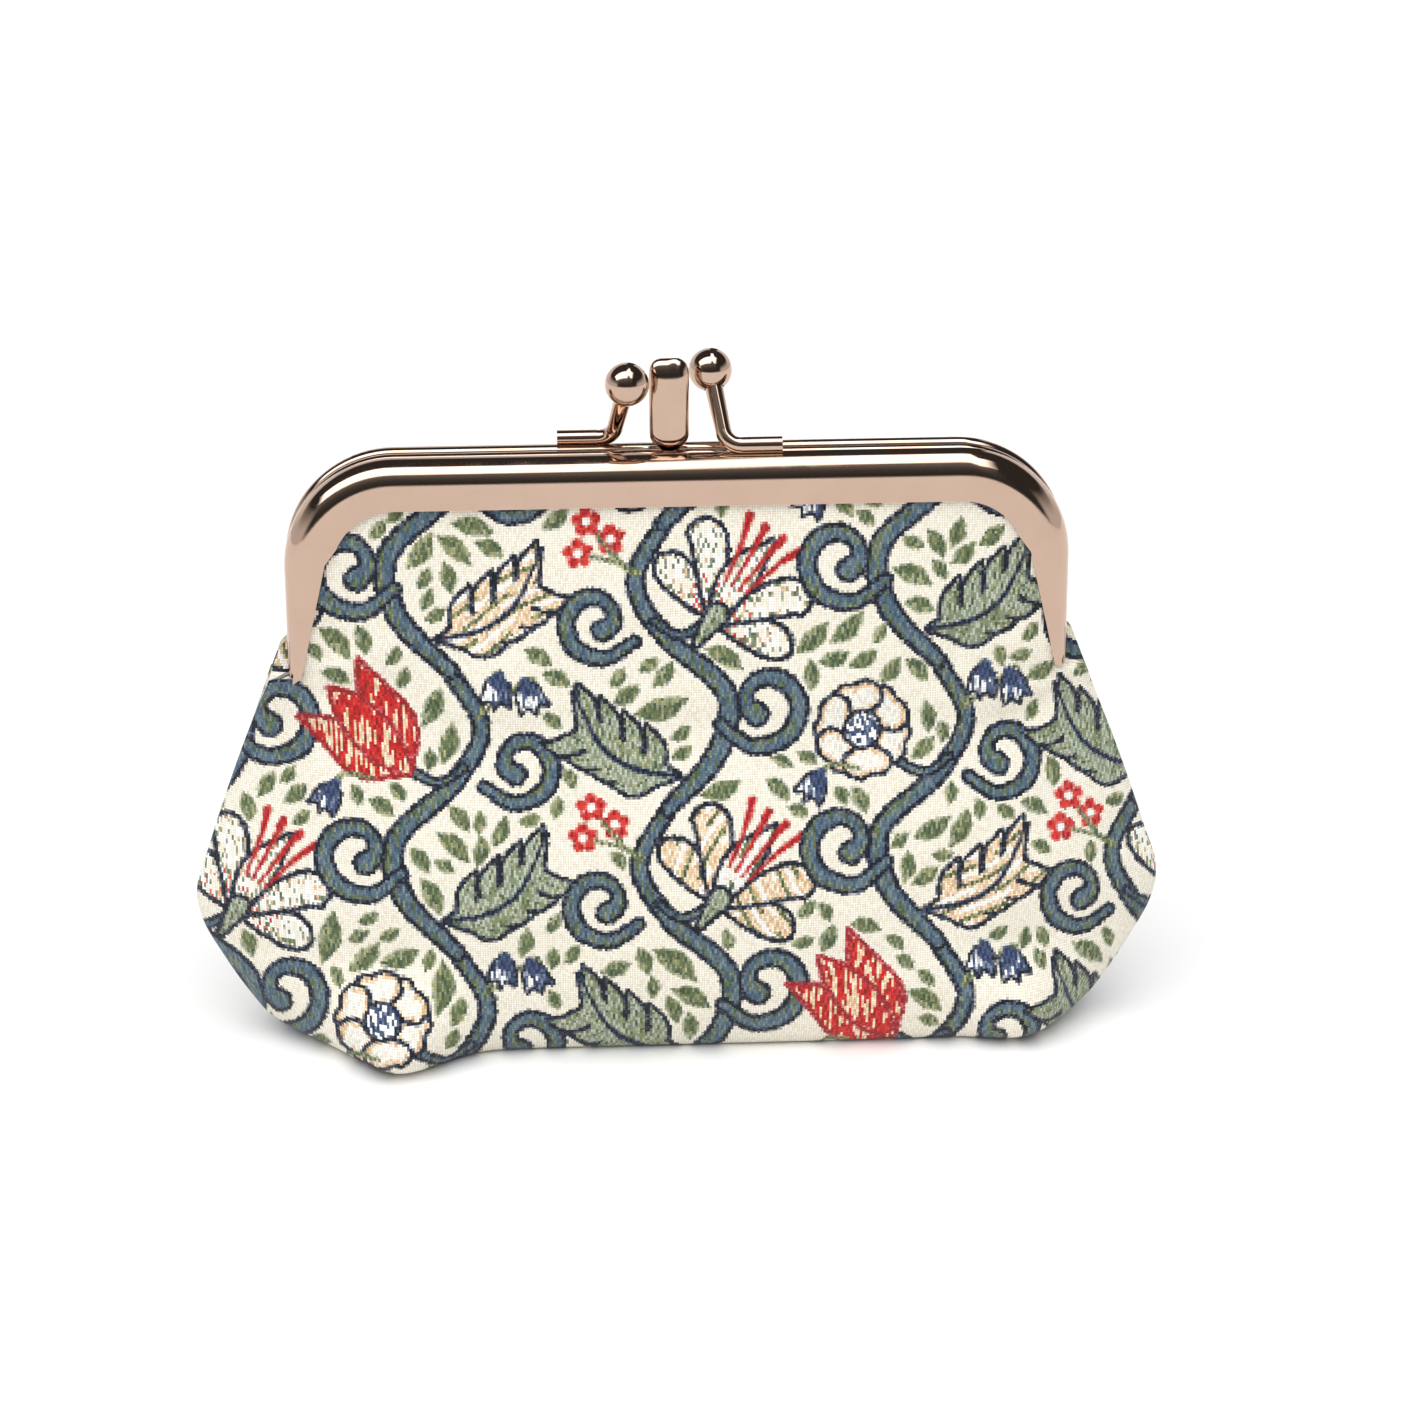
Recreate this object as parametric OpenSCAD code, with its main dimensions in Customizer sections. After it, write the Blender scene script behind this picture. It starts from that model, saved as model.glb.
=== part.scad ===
// Double-section coin purse: three hinged U-frames with a ball-and-post clasp, over a soft woven pouch.
// Millimetres. X runs left to right, Y from front to back, Z up. The origin is the middle of the base.

/* [Pouch] */
// Widest point of the fabric pouch
pouch_w = 134; // [128:1:138]
// Half depth of the pouch at its fullest
pouch_half_depth = 14.5; // [12:0.5:16]
// Thickness of the woven outer fabric with its backing
fabric_t = 0.8; // [0.6:0.1:1]
// Thickness of the lining
lining_t = 0.4; // [0.3:0.1:0.5]

/* [Frame] */
// Outer width of the front and back frames
frame_w = 106; // [104:0.5:108]
// Height of the top of the frames above the base
frame_top = 84; // [82:0.5:86]
// Height of the rivets that the frames turn on
hinge_z = 50.5; // [50:0.5:51.5]
// Outer radius of the frame's top corners
corner_r = 15; // [13:0.5:17]
// Height of the visible face of the top rail
face_h = 6.5; // [6:0.1:7.4]
// Sheet thickness of the frame channels
sheet_t = 0.6; // [0.5:0.05:0.7]

/* [Clasp] */
// Radius of the clasp balls
ball_r = 2.95; // [2.6:0.05:3.2]
// Radius of the bent ball stems at the elbow
stem_r = 1.1; // [0.9:0.05:1.2]
// Radius of the stems where they enter the balls
neck_r = 1.3; // [1.1:0.05:1.45]
// Width of the centre post
post_w = 5.3; // [4.6:0.1:5.8]
// Sideways position of the centre post
post_x = -1; // [-2:0.5:2]
// Gap between a ball and the post as they pass
snap_gap = 0.12; // [0.1:0.02:0.3]

/* [Hidden] */
$fn = 48;

rose_gold = [0.86, 0.66, 0.56];
tapestry = [0.62, 0.65, 0.55];
lining_colour = [0.80, 0.74, 0.62];
paper = [0.78, 0.70, 0.56];

// Frame channel, in its section: a crown of two arcs over a flat face and a shorter inner lip.
crown_r = 3.4;
back_r = 1;
lip_h = 4;
frame_depth = crown_r + back_r;
frame_gap = 1.45;
corner_x = frame_w / 2 - corner_r;
corner_z = frame_top - corner_r;
inner_r = corner_r - face_h;
arm_end = hinge_z + 3.3;
arm_face_end = 1.6;
taper_z = corner_z + 1.2;
taper_width = 5.6;
taper_turn = 50;
slack = 0.05;

// Middle frame: a folded strip that holds the divider.
strip_t = 2;
strip_h = 3.6;
strip_slot = 1;
strip_r = corner_r - 0.2;

// Hinge stack, from the inside of the purse outwards.
tab_t = 0.8;
tab_r = 2.6;
middle_tab_x = frame_w / 2 - 4;
back_tab_x = middle_tab_x + 1.3;
front_tab_x = back_tab_x + 1.3;
washer_t = 0.4;
rivet_r = 1.2;
rivet_head_r = 2.1;
rivet_head_t = 0.85;
bore_r = rivet_r + slack;

// Clasp: foot along the crown, elbow, and a stem that leans across to the far side.
foot_r = 1.15;
foot_sink = 0.3;
foot_y = -(frame_gap + back_r);
foot_z = frame_top + foot_r - foot_sink;
ball_y = 3.4;
ball_z = frame_top + 9.8;
ball_dx = post_w / 2 + ball_r + snap_gap;
foot_reach = 9.3;
elbow_r = 2.4;
elbow_angle = 80.2;
stem_in_ball = 0.8;
lean = atan2(ball_y - foot_y, ball_z - foot_z);
rise = norm([ball_y - foot_y, ball_z - foot_z]);
stem_l = (rise - elbow_r * (1 - cos(elbow_angle))) / sin(elbow_angle);
bend_x = elbow_r * sin(elbow_angle) + stem_l * cos(elbow_angle);
post_t = 3.4;
post_foot_z = frame_top + 0.15;
post_h = 12;

// Pouch shape: half width and half depth at heights up the wall.
half_w = pouch_w / 2;
width_knots = [[0, half_w - 14], [2, half_w - 9.9], [6, half_w - 6.6], [12, half_w - 3], [17, half_w - 0.6],
               [22, half_w], [28, half_w - 1.9], [35, half_w - 4.3], [42, half_w - 6.9], [49.5, half_w - 9.9],
               [56, half_w - 12.5]];
depth_knots = [[0, pouch_half_depth - 5.6], [1.5, pouch_half_depth - 3.9], [5, pouch_half_depth - 2],
               [12, pouch_half_depth - 0.4], [21, pouch_half_depth], [29.5, pouch_half_depth - 0.6],
               [37.5, pouch_half_depth - 2.4], [44, pouch_half_depth - 4.6], [47.5, 9.25], [50.5, 9.35],
               [54.5, 8.45]];
wall_t = 1.2;
floor_t = 1.2;
rim_z = hinge_z + 4;
side_rim_z = hinge_z - 5;
rim_step = [0.745, 0.815];
lens_power = 2.6;
lens_round = 0.8;
// The base is boxier than the rest, and its four corners stand out.
base_power = 7;
base_blend = 16;
corner_at = 44;
corner_spread = 8;
corner_push = 0.6;
wall_columns = 28;
wall_rows = 18;

// Panels that swing with the front and back frames.
panel_low = hinge_z + 7;
panel_top = frame_top - 3;
panel_edge_y = frame_gap + frame_depth - sheet_t - 0.1;
panel_bulge = 3.5;
panel_half_w = frame_w / 2 - 2.8;
bulge_half_w = 46;
bulge_top = frame_top - 7;
panel_columns = 24;
panel_rows = 12;

cord_r = 0.6;
divider_t = 0.8;
divider_r = strip_r - 1;

// A smooth curve through [t, value] knots (Catmull-Rom).
function knot_at(k, i) = k[max(0, min(len(k) - 1, i))];
function knot_span(k, t, i = 0) = i >= len(k) - 2 || t < k[i + 1][0] ? i : knot_span(k, t, i + 1);
function knot_slope(k, i) = let (a = knot_at(k, i - 1), b = knot_at(k, i + 1)) (b[1] - a[1]) / (b[0] - a[0]);
function curve(k, t) =
    let (i = knot_span(k, t), a = k[i], b = k[i + 1], h = b[0] - a[0], s = (t - a[0]) / h)
    (2 * s ^ 3 - 3 * s ^ 2 + 1) * a[1] + (s ^ 3 - 2 * s ^ 2 + s) * h * knot_slope(k, i)
    + (3 * s ^ 2 - 2 * s ^ 3) * b[1] + (s ^ 3 - s ^ 2) * h * knot_slope(k, i + 1);
function step_up(a, b, x) = let (t = max(0, min(1, (x - a) / (b - a)))) t * t * (3 - 2 * t);

function low_down(z) = 1 - step_up(0, base_blend, z);
function lens(u, z) =
    let (power = lens_power + (base_power - lens_power) * low_down(z)) (1 - min(1, abs(u)) ^ power) ^ lens_round;
function corner(x, z) = let (t = (abs(x) - corner_at) / corner_spread) 1 + corner_push * low_down(z) * exp(-t * t);
function out_at(u, z, inset_w, inset_d, near) =
    (near + (curve(depth_knots, z) - inset_d - near) * lens(u, z)) * corner(u * (curve(width_knots, z) - inset_w), z);
function rim(u) = rim_z - (rim_z - side_rim_z) * step_up(rim_step[0], rim_step[1], abs(u));

// Half of the pouch wall: an outer and an inner skin, joined at the rim, the side seams and the floor.
function wall_point(u, v, inset_w, inset_d, base, side) =
    let (z = base + (rim(u) - base) * v ^ 1.15)
    [u * (curve(width_knots, z) - inset_w), side * out_at(u, z, inset_w, inset_d, 0), z];

module pouch_wall(side) {
    nx = wall_columns;
    nz = wall_rows;
    us = [for (i = [0:nx]) sin(90 * (2 * i / nx - 1))];
    outer = [for (k = [0:nz], u = us) wall_point(u, k / nz, 0, 0, 0, side)];
    inner = [for (k = [0:nz], u = us) wall_point(u, k / nz, 1.8, wall_t, floor_t, side)];
    shell_solid(concat(outer, inner), nx, nz, side);
}

// Closes two skins of (nz + 1) rows of (nx + 1) points into one solid.
module shell_solid(points, nx, nz, side) {
    row = nx + 1;
    skin = row * (nz + 1);
    outside = [for (k = [0:nz - 1], i = [0:nx - 1])
        each let (a = k * row + i) [[a, a + 1, a + row + 1], [a, a + row + 1, a + row]]];
    inside = [for (f = outside) [skin + f[2], skin + f[1], skin + f[0]]];
    rim_strip = [for (i = [0:nx - 1]) let (a = nz * row + i) [a, a + 1, skin + a + 1, skin + a]];
    left_seam = [for (k = [0:nz - 1]) let (a = k * row) [a, a + row, skin + a + row, skin + a]];
    right_seam = [for (k = [0:nz - 1]) let (a = k * row + nx) [a, skin + a, skin + a + row, a + row]];
    outer_floor = [[for (i = [nx:-1:0]) i]];
    inner_floor = [[for (i = [0:nx]) skin + i]];
    floor_edge = [[0, skin, skin + nx, nx]];
    faces = concat(outside, inside, rim_strip, left_seam, right_seam, outer_floor, inner_floor, floor_edge);
    polyhedron(points, side < 0 ? [for (f = faces) reverse(f)] : faces);
}

function reverse(list) = [for (i = [len(list) - 1:-1:0]) list[i]];

// Lining bag of one pocket: a D-shaped tube with a floor, against the wall and the divider.
module pocket_lining(side) {
    nx = wall_columns;
    nz = 12;
    top = side_rim_z - 0.5;
    outer = lining_loops(nx, nz, 3, wall_t + 0.15, divider_t / 2 + 0.1, floor_t + 0.1, top, side);
    inner = lining_loops(nx, nz, 3 + 1.5 * lining_t, wall_t + 0.15 + lining_t,
                         divider_t / 2 + 0.1 + lining_t, floor_t + 0.1 + lining_t, top, side);
    loop_solid(concat(outer, inner), nx + 1, nz, side);
}

function lining_loops(nx, nz, inset_w, inset_d, near, base, top, side) =
    [for (k = [0:nz], i = [0:nx])
        let (u = sin(90 * (2 * i / nx - 1)), z = base + (top - base) * (k / nz) ^ 1.15)
        [u * (curve(width_knots, z) - inset_w), side * out_at(u, z, inset_w, inset_d, near), z]];

module loop_solid(points, n, nz, side) {
    skin = n * (nz + 1);
    outside = [for (k = [0:nz - 1], i = [0:n - 1])
        each let (j = (i + 1) % n, a = k * n + i, b = k * n + j) [[a, b, b + n], [a, b + n, a + n]]];
    inside = [for (f = outside) [skin + f[2], skin + f[1], skin + f[0]]];
    rim_strip = [for (i = [0:n - 1]) let (j = (i + 1) % n, a = nz * n + i, b = nz * n + j) [a, b, skin + b, skin + a]];
    outer_floor = [[for (i = [n - 1:-1:0]) i]];
    inner_floor = [[for (i = [0:n - 1]) skin + i]];
    faces = concat(outside, inside, rim_strip, outer_floor, inner_floor);
    polyhedron(points, side < 0 ? [for (f = faces) reverse(f)] : faces);
}

// Upper part of the front or back fabric: a plate with its edges in the channel and its middle proud.
function panel_reach(z) = z <= corner_z ? panel_half_w
    : corner_x + sqrt(max(0, (panel_half_w - corner_x) ^ 2 - (z - corner_z) ^ 2));
function panel_point(u, v, inset, side) =
    let (z = panel_low + (panel_top - panel_low) * v,
         x = u * panel_reach(z),
         across = max(0, 1 - (abs(x) / bulge_half_w) ^ lens_power) ^ 0.9,
         up = max(0, (bulge_top - z) / (bulge_top - panel_low)) ^ 0.9)
    [x, side * (panel_edge_y + panel_bulge * across * up - inset), z];

module plate(near, far, side) {
    nx = panel_columns;
    nz = panel_rows;
    us = [for (i = [0:nx]) sin(90 * (2 * i / nx - 1))];
    row = nx + 1;
    skin = row * (nz + 1);
    outer = [for (k = [0:nz], u = us) panel_point(u, k / nz, near, side)];
    inner = [for (k = [0:nz], u = us) panel_point(u, k / nz, far, side)];
    outside = [for (k = [0:nz - 1], i = [0:nx - 1])
        each let (a = k * row + i) [[a, a + 1, a + row + 1], [a, a + row + 1, a + row]]];
    inside = [for (f = outside) [skin + f[2], skin + f[1], skin + f[0]]];
    top = [for (i = [0:nx - 1]) let (a = nz * row + i) [a, a + 1, skin + a + 1, skin + a]];
    low = [for (i = [0:nx - 1]) [i, skin + i, skin + i + 1, i + 1]];
    left = [for (k = [0:nz - 1]) let (a = k * row) [a, a + row, skin + a + row, skin + a]];
    right = [for (k = [0:nz - 1]) let (a = k * row + nx) [a, skin + a, skin + a + row, a + row]];
    faces = concat(outside, inside, top, low, left, right);
    polyhedron(concat(outer, inner), side < 0 ? [for (f = faces) reverse(f)] : faces);
}

// Sweeps a section round the U: across the top, round both corners and down both arms.
// In the section, x is the distance outwards from the corner's centre and y is the depth.
module u_sweep(arm_bottom) {
    for (s = [-1, 1])
        translate([s * corner_x, 0, corner_z]) scale_x(s) {
            rotate([90, 0, 0]) rotate_extrude(angle = 90) children();
            translate([0, 0, arm_bottom - corner_z]) linear_extrude(corner_z - arm_bottom) mirror([0, 1]) children();
        }
    top_rail() children();
}

module top_rail() {
    translate([-corner_x, 0, corner_z]) rotate([90, 0, 90]) linear_extrude(2 * corner_x) rotate(90) children();
}

module scale_x(s) {
    if (s < 0) mirror([1, 0, 0]) children();
    else children();
}

module crown_section(shrink) {
    translate([corner_r - back_r, back_r]) circle(back_r - shrink);
    translate([corner_r - crown_r, back_r]) intersection() {
        circle(crown_r - shrink);
        square(crown_r);
    }
}

module channel_section() {
    difference() {
        channel_outline();
        translate([0, frame_gap]) {
            crown_section(sheet_t);
            translate([0, back_r - 0.01]) square([corner_r - crown_r, crown_r - sheet_t + 0.01]);
            translate([0, sheet_t]) square([corner_r - back_r, back_r - sheet_t]);
        }
    }
}

module channel_outline() {
    translate([0, frame_gap]) {
        crown_section(0);
        translate([corner_r - face_h, back_r]) square([face_h - crown_r, crown_r]);
        translate([corner_r - lip_h, 0]) square([lip_h - back_r, back_r]);
    }
}

module strip_section() {
    difference() {
        union() {
            translate([strip_r - strip_t / 2, 0]) circle(strip_t / 2);
            translate([strip_r - strip_h, -strip_t / 2]) square([strip_h - strip_t / 2, strip_t]);
        }
        translate([0, -strip_slot / 2]) square([strip_r - strip_t / 2, strip_slot]);
    }
}

// Cuts the arms so that their face narrows towards the rivet.
module arm_taper() {
    for (s = [-1, 1]) scale_x(s) rotate([90, 0, 0]) translate([0, 0, -20]) linear_extrude(40)
        polygon([[corner_x + inner_r * cos(taper_turn), corner_z + inner_r * sin(taper_turn)],
                 [frame_w / 2 - taper_width, taper_z], [frame_w / 2 - arm_face_end, arm_end - 1],
                 [corner_x + 2, arm_end - 1], [corner_x + 2, corner_z + inner_r * sin(taper_turn)]]);
}

// Hinge tab of the front frame: a rivet eye and a bar that joins the arm's side wall.
module side_tab(x) {
    difference() {
        rotate([90, 0, 90]) {
            translate([0, 0, x]) linear_extrude(tab_t) {
                translate([0, hinge_z]) circle(tab_r);
                polygon([[-tab_r, hinge_z], [-frame_gap - 2.6, arm_end], [-frame_gap - 2.6, arm_end + 5],
                         [-frame_gap - 0.7, arm_end + 5], [-frame_gap - 0.7, arm_end - 0.3], [0, hinge_z + 2]]);
            }
            translate([0, 0, x]) linear_extrude(frame_w / 2 - sheet_t / 2 - x)
                polygon([[-frame_gap - 2.6, arm_end + 0.2], [-frame_gap - 2.6, arm_end + 5],
                         [-frame_gap - 0.7, arm_end + 5], [-frame_gap - 0.7, arm_end + 0.2]]);
        }
        hinge_bore();
    }
}

module hinge_bore() {
    translate([0, 0, hinge_z]) rotate([0, 90, 0]) cylinder(r = bore_r, h = frame_w, center = true);
}

// Front frame, with hinge tabs at tab_x on each side.
module leaf_frame(tab_x) {
    difference() {
        u_sweep(arm_end) channel_section();
        arm_taper();
    }
    for (s = [-1, 1]) scale_x(s) side_tab(tab_x);
}

module turned() {
    mirror([0, 1, 0]) children();
}

module front_frame() {
    color(rose_gold) leaf_frame(front_tab_x);
}

module back_frame() {
    color(rose_gold) turned() leaf_frame(back_tab_x);
}

module middle_frame() {
    color(rose_gold) {
        u_sweep(hinge_z + 3.4) strip_section();
        for (s = [-1, 1]) scale_x(s) difference() {
            translate([middle_tab_x, 0, 0]) rotate([90, 0, 90]) linear_extrude(tab_t) {
                translate([0, hinge_z]) circle(tab_r);
                translate([-strip_t / 2, hinge_z]) square([strip_t, 8]);
            }
            hinge_bore();
            translate([middle_tab_x - 1, -strip_slot / 2, hinge_z + 3.4]) cube([2, strip_slot, 8]);
        }
    }
}

module pivot_rivets() {
    low = middle_tab_x - slack;
    high = front_tab_x + tab_t + slack;
    color(rose_gold) for (s = [-1, 1]) scale_x(s) translate([0, 0, hinge_z]) rotate([0, 90, 0]) {
        translate([0, 0, low - 0.1]) cylinder(r = rivet_r, h = high - low + 0.2);
        translate([0, 0, low - rivet_head_t]) cylinder(r = rivet_head_r, h = rivet_head_t);
        translate([0, 0, high]) intersection() {
            cylinder(r = rivet_head_r, h = rivet_head_t);
            translate([0, 0, -2]) sphere(r = 2 + rivet_head_t);
        }
    }
}

module pivot_washers() {
    color(rose_gold) for (s = [-1, 1], x = [middle_tab_x, back_tab_x]) scale_x(s)
        translate([x + tab_t + slack, 0, hinge_z]) rotate([0, 90, 0]) difference() {
            cylinder(r = rivet_head_r, h = washer_t);
            translate([0, 0, -1]) cylinder(r = bore_r, h = washer_t + 2);
        }
}

// Foot, elbow and stem as one bent rod, in the plane that leans across the frames.
module ball_stem() {
    color(rose_gold) difference() {
        on_crown() {
            translate([bend_x, 0, 0]) rotate([0, 90, 0]) cylinder(r = foot_r, h = foot_reach - bend_x);
            translate([bend_x, 0, elbow_r]) rotate([-90, 90, 0])
                rotate_extrude(angle = elbow_angle) translate([elbow_r, 0]) circle(stem_r);
            along_stem() translate([0, 0, stem_in_ball])
                cylinder(r1 = neck_r, r2 = stem_r - 0.02, h = stem_l - stem_in_ball);
        }
        top_rail() channel_outline();
    }
}

// Places the clasp's own frame: x along the foot from under the ball, z up the leaning plane.
module on_crown() {
    translate([post_x + ball_dx, foot_y, foot_z]) rotate([-lean, 0, 0]) children();
}

// Origin at the ball's centre, z down the stem.
module along_stem() {
    translate([0, 0, rise]) rotate([0, 180 - (90 - elbow_angle), 0]) children();
}

module ball() {
    color(rose_gold) difference() {
        on_crown() translate([0, 0, rise]) sphere(r = ball_r);
        on_crown() along_stem() translate([0, 0, stem_in_ball - 0.1]) cylinder(r = neck_r + slack, h = ball_r);
    }
}

module other_side() {
    translate([post_x, 0, 0]) rotate([0, 0, 180]) translate([-post_x, 0, 0]) children();
}

module front_ball_stem() {
    ball_stem();
}

module front_ball() {
    ball();
}

module back_ball_stem() {
    other_side() ball_stem();
}

module back_ball() {
    other_side() ball();
}

// Rounded tongue between the balls, on a tenon that meets the middle frame.
module clasp_post() {
    end_r = post_w / 2;
    edge_r = 1.5;
    top_r = 1.9;
    color(rose_gold) translate([post_x, 0, post_foot_z]) {
        intersection() {
            rotate([90, 0, 0]) linear_extrude(post_t, center = true) {
                translate([0, end_r]) circle(end_r);
                translate([-end_r, end_r]) square([post_w, post_h - end_r - top_r]);
                for (s = [-1, 1]) translate([s * (end_r - top_r), post_h - top_r]) circle(top_r);
                translate([-end_r + top_r, post_h - top_r - 0.1]) square([post_w - 2 * top_r, top_r + 0.1]);
            }
            rotate([90, 0, 90]) linear_extrude(post_w, center = true) {
                translate([-post_t / 2, 0]) square([post_t, post_h - edge_r]);
                for (s = [-1, 1]) translate([s * (post_t / 2 - edge_r), post_h - edge_r]) circle(edge_r);
                translate([-post_t / 2 + edge_r, post_h - edge_r - 0.1]) square([post_t - 2 * edge_r, edge_r + 0.1]);
            }
            linear_extrude(post_h) {
                for (s = [-1, 1], t = [-1, 1])
                    translate([s * (end_r - edge_r), t * (post_t / 2 - edge_r)]) circle(edge_r);
                square([post_w, post_t - 2 * edge_r], center = true);
                square([post_w - 2 * edge_r, post_t], center = true);
            }
        }
        translate([-1.4, -0.7, strip_r + corner_z - post_foot_z]) cube([2.8, 1.4, 1.6]);
    }
}

// Paper cord that fills a channel behind the fabric.
module cord_sweep(out, depth) {
    u_sweep(arm_end + 6) translate([out, depth]) circle(cord_r);
}

module front_paper_cord() {
    color(paper) cord_sweep(corner_r - 2.6, frame_gap + sheet_t + cord_r + 0.05);
}

module back_paper_cord() {
    turned() front_paper_cord();
}

module middle_paper_cord() {
    color(paper) u_sweep(hinge_z + 10) translate([strip_r - 1.5, 0]) circle(0.4);
}

module divider() {
    low = floor_t + 0.6;
    waist = middle_tab_x - rivet_head_t - 0.6;
    side = concat(
        [for (z = [low:2:side_rim_z - 1]) [curve(width_knots, z) - 2.4, z]],
        [[waist, side_rim_z + 1.5], [waist, hinge_z + 3.4], [corner_x + divider_r - 1.1, hinge_z + 4.5]],
        [for (a = [0:7.5:90]) [corner_x + (divider_r - 1.1) * cos(a), corner_z + (divider_r - 1.1) * sin(a)]]);
    color(lining_colour) rotate([90, 0, 0]) linear_extrude(divider_t, center = true)
        polygon(concat(side, [for (p = reverse(side)) [-p[0], p[1]]]));
}

module front_pouch_wall() {
    color(tapestry) pouch_wall(-1);
}

module back_pouch_wall() {
    color(tapestry) pouch_wall(1);
}

module front_pocket_lining() {
    color(lining_colour) pocket_lining(-1);
}

module back_pocket_lining() {
    color(lining_colour) pocket_lining(1);
}

module front_panel() {
    color(tapestry) plate(0, fabric_t, -1);
}

module back_panel() {
    color(tapestry) plate(0, fabric_t, 1);
}

module front_panel_lining() {
    color(lining_colour) plate(fabric_t + 0.05, fabric_t + 0.05 + lining_t, -1);
}

module back_panel_lining() {
    color(lining_colour) plate(fabric_t + 0.05, fabric_t + 0.05 + lining_t, 1);
}

front_pouch_wall();
back_pouch_wall();
front_pocket_lining();
back_pocket_lining();
divider();
middle_frame();
middle_paper_cord();
clasp_post();
pivot_rivets();
pivot_washers();
front_frame();
front_paper_cord();
front_panel();
front_panel_lining();
front_ball_stem();
front_ball();
back_frame();
back_paper_cord();
back_panel();
back_panel_lining();
back_ball_stem();
back_ball();
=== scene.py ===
import math

import bpy
import numpy as np
from mathutils import Matrix, Vector


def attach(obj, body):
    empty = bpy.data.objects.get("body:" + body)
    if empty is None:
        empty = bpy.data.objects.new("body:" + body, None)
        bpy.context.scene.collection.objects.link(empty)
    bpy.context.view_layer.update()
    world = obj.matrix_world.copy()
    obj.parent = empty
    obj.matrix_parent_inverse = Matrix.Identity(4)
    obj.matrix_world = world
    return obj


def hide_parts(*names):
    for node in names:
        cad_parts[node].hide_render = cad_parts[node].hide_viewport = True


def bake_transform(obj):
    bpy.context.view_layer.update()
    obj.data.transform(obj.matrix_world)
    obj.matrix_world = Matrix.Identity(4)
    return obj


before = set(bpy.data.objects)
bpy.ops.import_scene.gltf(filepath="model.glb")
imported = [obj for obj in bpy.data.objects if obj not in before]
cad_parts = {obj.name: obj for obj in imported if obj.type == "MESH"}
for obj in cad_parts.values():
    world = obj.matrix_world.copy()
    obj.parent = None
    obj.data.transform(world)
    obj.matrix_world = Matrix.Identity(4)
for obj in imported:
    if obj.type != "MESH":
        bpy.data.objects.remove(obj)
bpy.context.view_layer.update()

MM = 0.001

# ---------------------------------------------------------------- shape of the cloth, in millimetres

THREAD = 0.34                  # one woven cell
TILT = math.radians(20)        # the camera looks down by this much
CORNER_X, CORNER_Z, CORNER_R = 38, 69, 12.6   # centre and radius of the cloth's top corners, inside the frame
FLOOR_DEPTH = 8.9              # half the depth of the flat base at the middle
BASE_V = 2.87                  # where the front edge of the base lies in the pattern
UNDER_ROWS = 26                # thread rows that turn in under the base

HALF_WIDTH = [(0, 53), (2, 57.1), (6, 60.4), (12, 64), (17, 66.4), (22, 67), (28, 65.1), (35, 62.7), (42, 60.1),
              (49.5, 57.1), (56, 54.6), (57.6, 53.9), (59.0, 52.4), (60.5, 51.1), (69, 50.6)]
DEPTH = [(0, FLOOR_DEPTH), (1.5, 10.6), (5, 12.5), (12, 14.1), (21, 14.5), (29.5, 13.9), (37.5, 12.1), (44, 9.9),
         (47.5, 9.25), (50.5, 9.35), (54.5, 8.8), (58, 8.3), (63, 7.6), (68, 6.75), (73, 5.85), (77, 5.15), (82, 5.1)]


def curve(knots, t):
    """A smooth curve through (t, value) knots, as in the CAD source."""
    k = np.array(knots, float)
    t = np.clip(np.asarray(t, float), k[0, 0], k[-1, 0])
    i = np.clip(np.searchsorted(k[:, 0], t, side="right") - 1, 0, len(k) - 2)
    slope = np.empty(len(k))
    slope[1:-1] = (k[2:, 1] - k[:-2, 1]) / (k[2:, 0] - k[:-2, 0])
    slope[0] = (k[1, 1] - k[0, 1]) / (k[1, 0] - k[0, 0])
    slope[-1] = (k[-1, 1] - k[-2, 1]) / (k[-1, 0] - k[-2, 0])
    h = k[i + 1, 0] - k[i, 0]
    s = (t - k[i, 0]) / h
    return ((2 * s**3 - 3 * s**2 + 1) * k[i, 1] + (s**3 - 2 * s**2 + s) * h * slope[i]
            + (3 * s**2 - 2 * s**3) * k[i + 1, 1] + (s**3 - s**2) * h * slope[i + 1])


def step(a, b, x):
    t = np.clip((x - a) / (b - a), 0, 1)
    return t * t * (3 - 2 * t)


def half_width(z):
    w = curve(HALF_WIDTH, z)
    corner = CORNER_X + np.sqrt(np.maximum(0.0, CORNER_R**2 - np.maximum(0, z - CORNER_Z) ** 2))
    return np.where(z > CORNER_Z, np.minimum(w, corner), w)


def cloth_depth(x, z):
    """Distance of the outer cloth from the middle plane."""
    bulge_w = half_width(z) + (46.5 - half_width(z)) * step(48, 60, z)
    u = np.clip(np.abs(x) / bulge_w, 0, 1)
    low_down = 1 - step(0, 16, z)
    lens = (1 - u ** (2.6 + 4.4 * low_down)) ** (0.8 + 0.1 * step(48, 60, z))
    edge = 5.1 * step(45.5, 57, z)
    corners = np.exp(-((x + 40) / 8) ** 2) + 0.6 * np.exp(-((x - 49) / 7) ** 2)
    y = edge + (curve(DEPTH, z) - edge) * lens * (1 + 0.95 * low_down * corners)
    slot = 5.15 - 3.9 * step(50.9, 51.6, np.abs(x))
    return y + (np.minimum(y, slot) - y) * step(53.0, 54.0, z) * step(49.5, 50.6, np.abs(x))


def profile_levels():
    """Height of each thread row: under the base first (negative), then up the centre line at equal arc lengths."""
    z = np.linspace(0, 81.5, 1600)
    y = curve(DEPTH, z)
    arc = np.concatenate([[0], np.cumsum(np.hypot(np.diff(z), np.diff(y)))])
    up = np.interp(np.arange(0, arc[-1], THREAD), arc, z)
    under = -np.arange(UNDER_ROWS, 0, -1) * THREAD
    return np.concatenate([under, up])


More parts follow.
